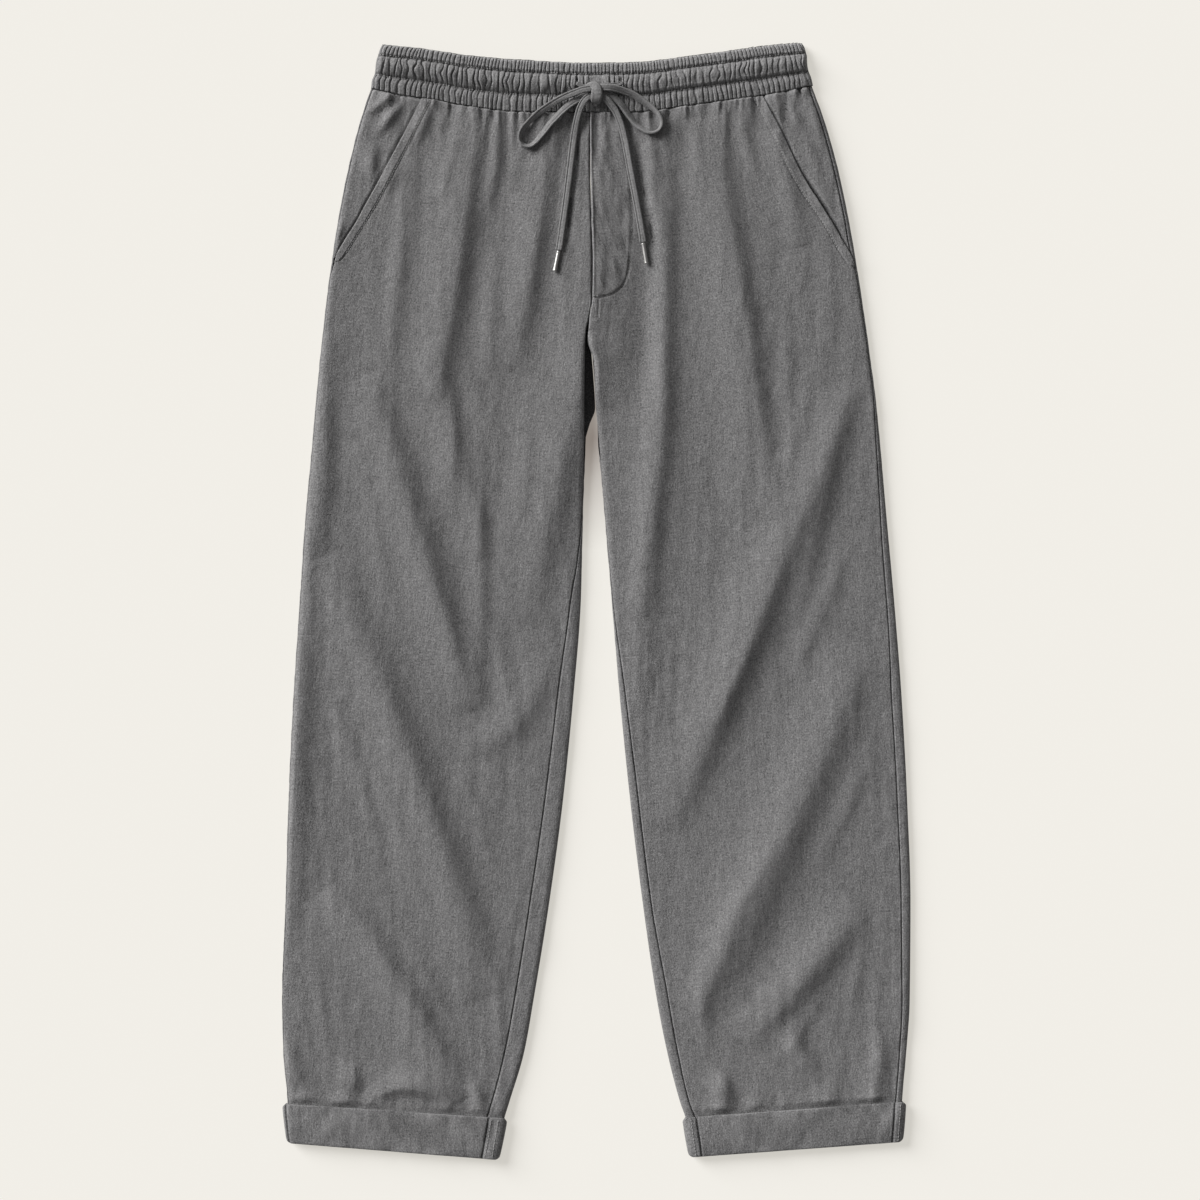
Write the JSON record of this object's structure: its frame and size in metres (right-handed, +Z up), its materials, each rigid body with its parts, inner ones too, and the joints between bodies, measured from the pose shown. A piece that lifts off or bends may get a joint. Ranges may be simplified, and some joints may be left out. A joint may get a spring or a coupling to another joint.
{
  "type": "wide-leg trousers",
  "caption": "Relaxed wide-leg drawstring trousers laid flat, front up, with a gathered elastic waistband, slanted pockets, a stitched mock fly and turned-up hems.",
  "frame": {"origin": "centre of the garment's bounding rectangle, on the surface that it lies on", "axes": "+Z up out of the surface and towards the viewer, +Y from the turned-up hems towards the waist, +X to the right seen from above with the waist away from the viewer"},
  "size_m": [0.5847, 1.0385, 0.0197],
  "materials": {
    "cloth": "washed slubby plain-weave cotton and linen, matt",
    "drawcord": "matt flat tubular cord of the same colour",
    "aglet": "satin metal"
  },
  "bodies": {
    "root": {"front_left": "cloth", "front_right": "cloth", "back_left": "cloth", "back_right": "cloth", "pocket_facing_left": "cloth", "pocket_facing_right": "cloth", "waistband_front": "cloth", "waistband_back": "cloth", "turn_up_left": "cloth", "turn_up_right": "cloth", "drawcord_lead_left": "drawcord", "drawcord_lead_right": "drawcord", "drawcord_loop_left": "drawcord", "drawcord_loop_right": "drawcord", "drawcord_tail_left": "drawcord", "drawcord_tail_right": "drawcord", "drawcord_knot": "drawcord", "aglet_left": "aglet", "aglet_right": "aglet"}
  },
  "joints": []
}
